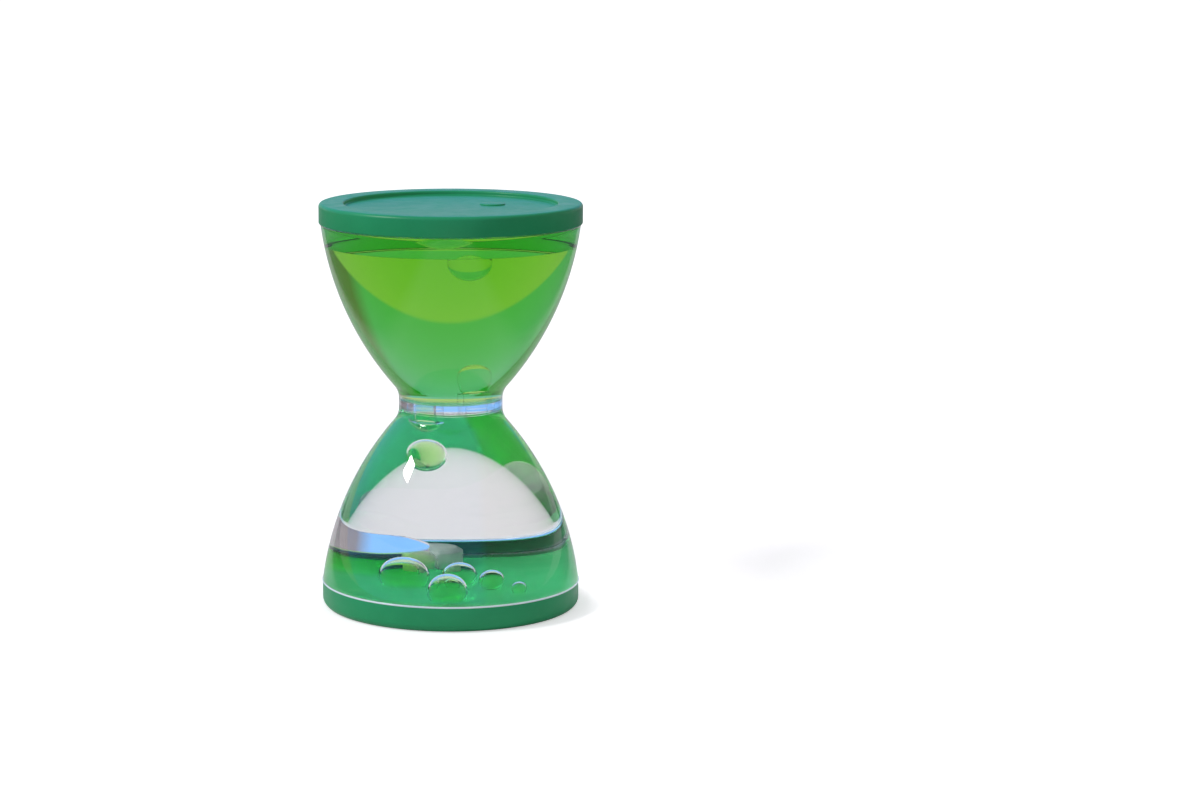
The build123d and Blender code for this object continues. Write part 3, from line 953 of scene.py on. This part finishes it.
# %% [markdown]
# ## Floor and backdrop
# The timer stands on pale paper that widens to the back, with a grey table beside it. To the camera
# the floor and the world behind it are white, and the floor still takes the timer's shadow. The
# clear bells bend light far up and down, so what they show is the pale paper below and a bluish
# room above it, grey at one side, which the world paints by direction.

# %% Floor
floor_reach = 3.0
floor_bm = bmesh.new()
bmesh.ops.create_grid(floor_bm, x_segments=4, y_segments=4, size=floor_reach)
floor_mesh = bpy.data.meshes.new("paper_floor")
floor_bm.to_mesh(floor_mesh)
floor_bm.free()
paper_floor = bpy.data.objects.new("paper_floor", floor_mesh)
bpy.context.scene.collection.objects.link(paper_floor)
print("the floor reaches", floor_reach, "m to each side")

# %% Colours of the floor
paper_dark, paper_light = (0.80, 0.765, 0.80), (0.82, 0.785, 0.82)
table_grey, paper_grain = (0.22, 0.20, 0.21), 40.0
edge_start, edge_end, edge_fan = 0.06, 0.085, 0.42
paper, tree, shader = new_finish("pale_paper")
place = object_coordinates(tree)
paper_tone = spread(tree, noise(tree, place, paper_grain, detail=3.0), noise_low, noise_high)
paper_colour = mix_colours(tree, paper_tone, paper_dark, paper_light)
place_parts = tree.nodes.new("ShaderNodeSeparateXYZ")
tree.links.new(place, place_parts.inputs["Vector"])
behind = sums(tree, "MAXIMUM", place_parts.outputs["Y"], 0.0)
across = sums(tree, "ABSOLUTE", place_parts.outputs["X"], 0.0)
past_edge = sums(tree, "SUBTRACT", across, sums(tree, "MULTIPLY", behind, edge_fan))
off_paper = spread(tree, past_edge, edge_start, edge_end)
floor_colour = mix_colours(tree, off_paper, paper_colour, table_grey)
tree.links.new(floor_colour, shader.inputs["Base Color"])
shader.inputs["Roughness"].default_value = 0.9
floor_mesh.materials.append(paper)
print("the paper is", 2 * edge_start, "m wide beside the timer")

# %% White to the camera, pale through the bells
near_floor, far_floor = 0.06, 0.45
near_lift, far_lift, table_lift, clear_lift = 0.50, 0.72, 0.45, 0.18
shader.inputs["Emission Color"].default_value = (1, 1, 1, 1)
rays = tree.nodes.new("ShaderNodeLightPath").outputs
from_timer = tree.nodes.new("ShaderNodeVectorMath")
from_timer.operation = "LENGTH"
tree.links.new(place, from_timer.inputs[0])
distance = from_timer.outputs["Value"]
paper_lift = spread(tree, distance, near_floor, far_floor, near_lift, far_lift)
camera_lift = sums(tree, "ADD", paper_lift, sums(tree, "MULTIPLY", off_paper, table_lift))
to_camera = sums(tree, "MULTIPLY", rays["Is Camera Ray"], camera_lift)
paper_only = spread(tree, off_paper, 0.0, 1.0, clear_lift, 0.0)
through_bells = sums(tree, "MULTIPLY", rays["Is Transmission Ray"], paper_only)
tree.links.new(sums(tree, "ADD", to_camera, through_bells), shader.inputs["Emission Strength"])
print("the camera sees the paper lifted by", near_lift, "to", far_lift)

# %% World
pale, bluish, dim_grey = (0.716, 0.68, 0.72), (0.26, 0.58, 1.10), (0.27, 0.24, 0.26)
soft_level, white = (0.50, 0.50, 0.50), (1.0, 1.0, 1.0)
card_slope, card_blur = 0.158, 0.006
side_start, side_end = 0.44, 0.58
world = bpy.data.worlds.new("pale_room")
bpy.context.scene.world = world
world.use_nodes = True
tree = world.node_tree
way = tree.nodes.new("ShaderNodeTexCoord").outputs["Generated"]
way_parts = tree.nodes.new("ShaderNodeSeparateXYZ")
tree.links.new(way, way_parts.inputs["Vector"])
card_height = sums(tree, "MULTIPLY", way_parts.outputs["Y"], card_slope)
over_card = sums(tree, "SUBTRACT", way_parts.outputs["Z"], card_height)
to_side = spread(tree, way_parts.outputs["X"], side_start, side_end)
upper_room = mix_colours(tree, to_side, bluish, dim_grey)
room_colour = mix_colours(tree, spread(tree, over_card, -card_blur, card_blur), pale, upper_room)
rays = tree.nodes.new("ShaderNodeLightPath").outputs
lit_colour = mix_colours(tree, rays["Diffuse Depth"], room_colour, soft_level)
seen_colour = mix_colours(tree, rays["Is Camera Ray"], lit_colour, white)
tree.links.new(seen_colour, tree.nodes["Background"].inputs["Color"])
world.cycles.sampling_method = "NONE"
print(world.name, "lights matt surfaces at", soft_level[0])

# %% [markdown]
# ## Light
# One window-like softbox stands high on the left. The bright patch on the lower bell mirrors it,
# which gives its direction. It is mirrored by the clear pieces but not seen through them. The soft
# light from all other sides comes from the world, so there is no second lamp.

# %% Lamp
timer_middle = (0, 0, 0.045)
softbox_place, softbox_width, softbox_height, softbox_watts = (-0.67, -0.23, 0.69), 0.17, 0.12, 4.0


def aim(holder, place, target):
    """Puts a lamp or camera at a place and points it at a target."""
    holder.location = place
    holder.rotation_euler = (Vector(target) - Vector(place)).to_track_quat("-Z", "Y").to_euler()
    bpy.context.scene.collection.objects.link(holder)


lamp = bpy.data.lights.new("key_softbox", "AREA")
lamp.shape = "RECTANGLE"
lamp.size, lamp.size_y, lamp.energy = softbox_width, softbox_height, softbox_watts
key_softbox = bpy.data.objects.new("key_softbox", lamp)
key_softbox.visible_transmission = False
aim(key_softbox, softbox_place, timer_middle)
print(lamp.name, "gives", lamp.energy, "W")

# %% [markdown]
# ## Camera
# The camera looks slightly down from the front. The timer stands left of the middle of the
# photograph, so the lens is shifted, as an architect's camera is, and not turned.

# %% Camera
camera_place = (0, -0.668, 0.1635)
lens = bpy.data.cameras.new("front_camera")
lens.sensor_width = 36.0
lens.lens = 91.80
lens.shift_x = 0.1244
lens.shift_y = 0.0035
front_camera = bpy.data.objects.new("front_camera", lens)
aim(front_camera, camera_place, timer_middle)
bpy.context.scene.camera = front_camera
bpy.context.scene.view_settings.view_transform = "Standard"
print(lens.name, "has a lens of", lens.lens, "mm")

# %% [markdown]
# ## Light paths
# A ray crosses up to a dozen clear surfaces on its way through the timer, so it gets more bounces
# than usual.

# %% Light paths
cycles = bpy.context.scene.cycles
cycles.max_bounces = 32
cycles.transmission_bounces = 32
cycles.glossy_bounces = 12
